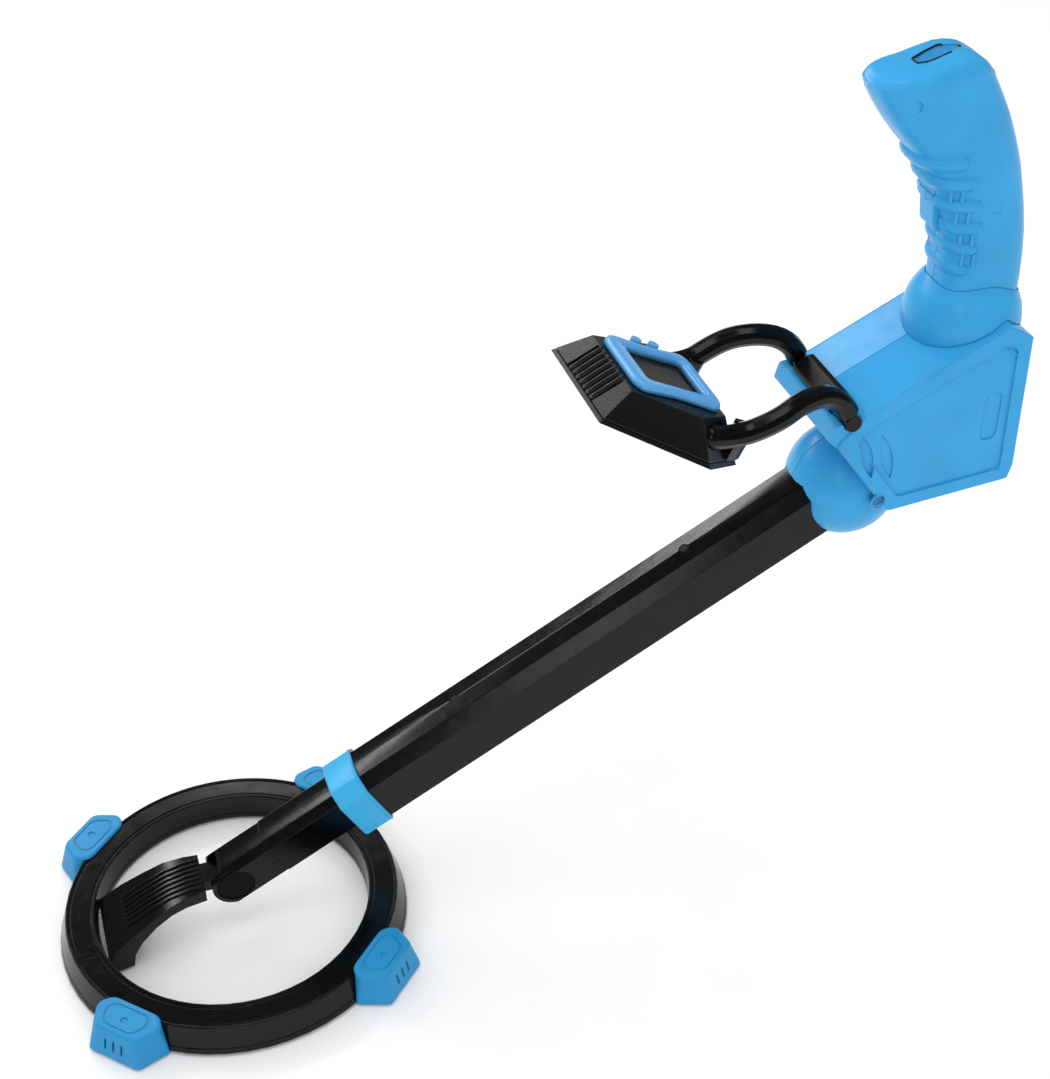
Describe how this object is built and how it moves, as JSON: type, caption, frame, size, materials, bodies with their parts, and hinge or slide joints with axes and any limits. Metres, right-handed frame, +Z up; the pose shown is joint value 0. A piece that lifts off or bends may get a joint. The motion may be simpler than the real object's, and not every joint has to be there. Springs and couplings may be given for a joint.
{
  "type": "metal detector",
  "caption": "Hand-held metal detector with a ring coil on a tilting arm, telescopic faceted shaft, boxed housing, pistol grip and tilting display on a yoke.",
  "frame": {"origin": "centre of the hand grip, where the hand holds it", "axes": "+X from the coil towards the user, +Y to the right of the user, +Z up with the coil level over the ground"},
  "size_m": [0.4673, 0.1684, 0.3987],
  "materials": {
    "black_plastic": "glossy injection-moulded black plastic",
    "black_satin_plastic": "satin black plastic of the small inner fittings",
    "blue_plastic": "glossy mid-blue moulded plastic",
    "bumper_blue": "semi-gloss blue plastic of the coil bumpers",
    "bezel_blue": "satin metallic-blue painted plastic",
    "lens_glass": "clear glossy acrylic lens",
    "lcd_grey": "olive-grey liquid crystal glass",
    "board_green": "green printed circuit board",
    "steel": "zinc-plated steel",
    "copper": "enamelled copper wire",
    "cell_jacket": "printed steel jacket of a battery",
    "speaker_black": "dull black plastic and card"
  },
  "bodies": {
    "main": {"outer_tube": "black_plastic", "tube_bush": "black_satin_plastic", "shaft_collar": "blue_plastic", "shaft_core": "black_satin_plastic", "shaft_screw_front": "steel", "shaft_screw_rear": "steel", "housing_left": "blue_plastic", "housing_right": "blue_plastic", "battery_door": "blue_plastic", "battery_door_screw": "steel", "housing_screw_bottom_front": "steel", "housing_screw_bottom_rear": "steel", "housing_screw_top_rear": "steel", "housing_screw_top_front": "steel", "battery": "cell_jacket", "battery_snap": "speaker_black", "main_board": "board_green", "speaker": "speaker_black", "bar_cradle": "blue_plastic", "bar_keeper": "black_satin_plastic", "grip_left": "blue_plastic", "grip_right": "blue_plastic", "grip_cap": "blue_plastic", "neck_dome": "blue_plastic", "grip_core": "black_satin_plastic"},
    "lower_shaft": {"inner_tube": "black_plastic", "knuckle": "black_plastic", "hinge_bolt": "black_plastic", "hinge_nut": "black_plastic", "hinge_washer_left": "black_satin_plastic", "hinge_washer_right": "black_satin_plastic"},
    "coil": {"coil_body": "black_plastic", "coil_cover": "black_plastic", "coil_winding": "copper", "bumper_front_left": "bumper_blue", "bumper_front_right": "bumper_blue", "bumper_rear_left": "bumper_blue", "bumper_rear_right": "bumper_blue"},
    "display": {"display_case_top": "black_plastic", "display_case_bottom": "black_plastic", "display_bezel": "bezel_blue", "lcd_window": "lens_glass", "lcd_module": "lcd_grey", "display_board": "board_green", "yoke_arm_left": "black_plastic", "yoke_arm_right": "black_plastic", "yoke_crossbar": "black_plastic"},
    "button_front": {"display_button_front": "bezel_blue"},
    "button_rear": {"display_button_rear": "bezel_blue"},
    "thumb_key": {"grip_key": "blue_plastic"},
    "trigger": {"finger_trigger": "blue_plastic"}
  },
  "joints": [
    {"name": "shaft_slide", "type": "slide", "parent": "main", "child": "lower_shaft", "axis": [0.8783, 0, 0.4781], "range_m": [-0.05, 0.036]},
    {"name": "coil_tilt", "type": "hinge", "parent": "lower_shaft", "child": "coil", "pos_m": [-0.35055, 0, -0.30384], "axis": [0, 1, 0], "range_deg": [-24, 35]},
    {"name": "display_tilt", "type": "hinge", "parent": "main", "child": "display", "pos_m": [-0.0605, 0, -0.0897], "axis": [0, 1, 0], "range_deg": [-14, 40]},
    {"name": "button_front_press", "type": "slide", "parent": "display", "child": "button_front", "axis": [-0.4462, 0, -0.8949], "range_m": [0, 0.0012], "stiffness_N_per_m": 600, "springref_m": -0.0005},
    {"name": "button_rear_press", "type": "slide", "parent": "display", "child": "button_rear", "axis": [-0.4462, 0, -0.8949], "range_m": [0, 0.0012], "stiffness_N_per_m": 600, "springref_m": -0.0005},
    {"name": "thumb_key_press", "type": "slide", "parent": "main", "child": "thumb_key", "axis": [0, 0, -1], "range_m": [0, 0.0012], "stiffness_N_per_m": 800, "springref_m": -0.0005},
    {"name": "trigger_pull", "type": "slide", "parent": "main", "child": "trigger", "axis": [1, 0, 0], "range_m": [0, 0.002], "stiffness_N_per_m": 700, "springref_m": -0.0008}
  ]
}
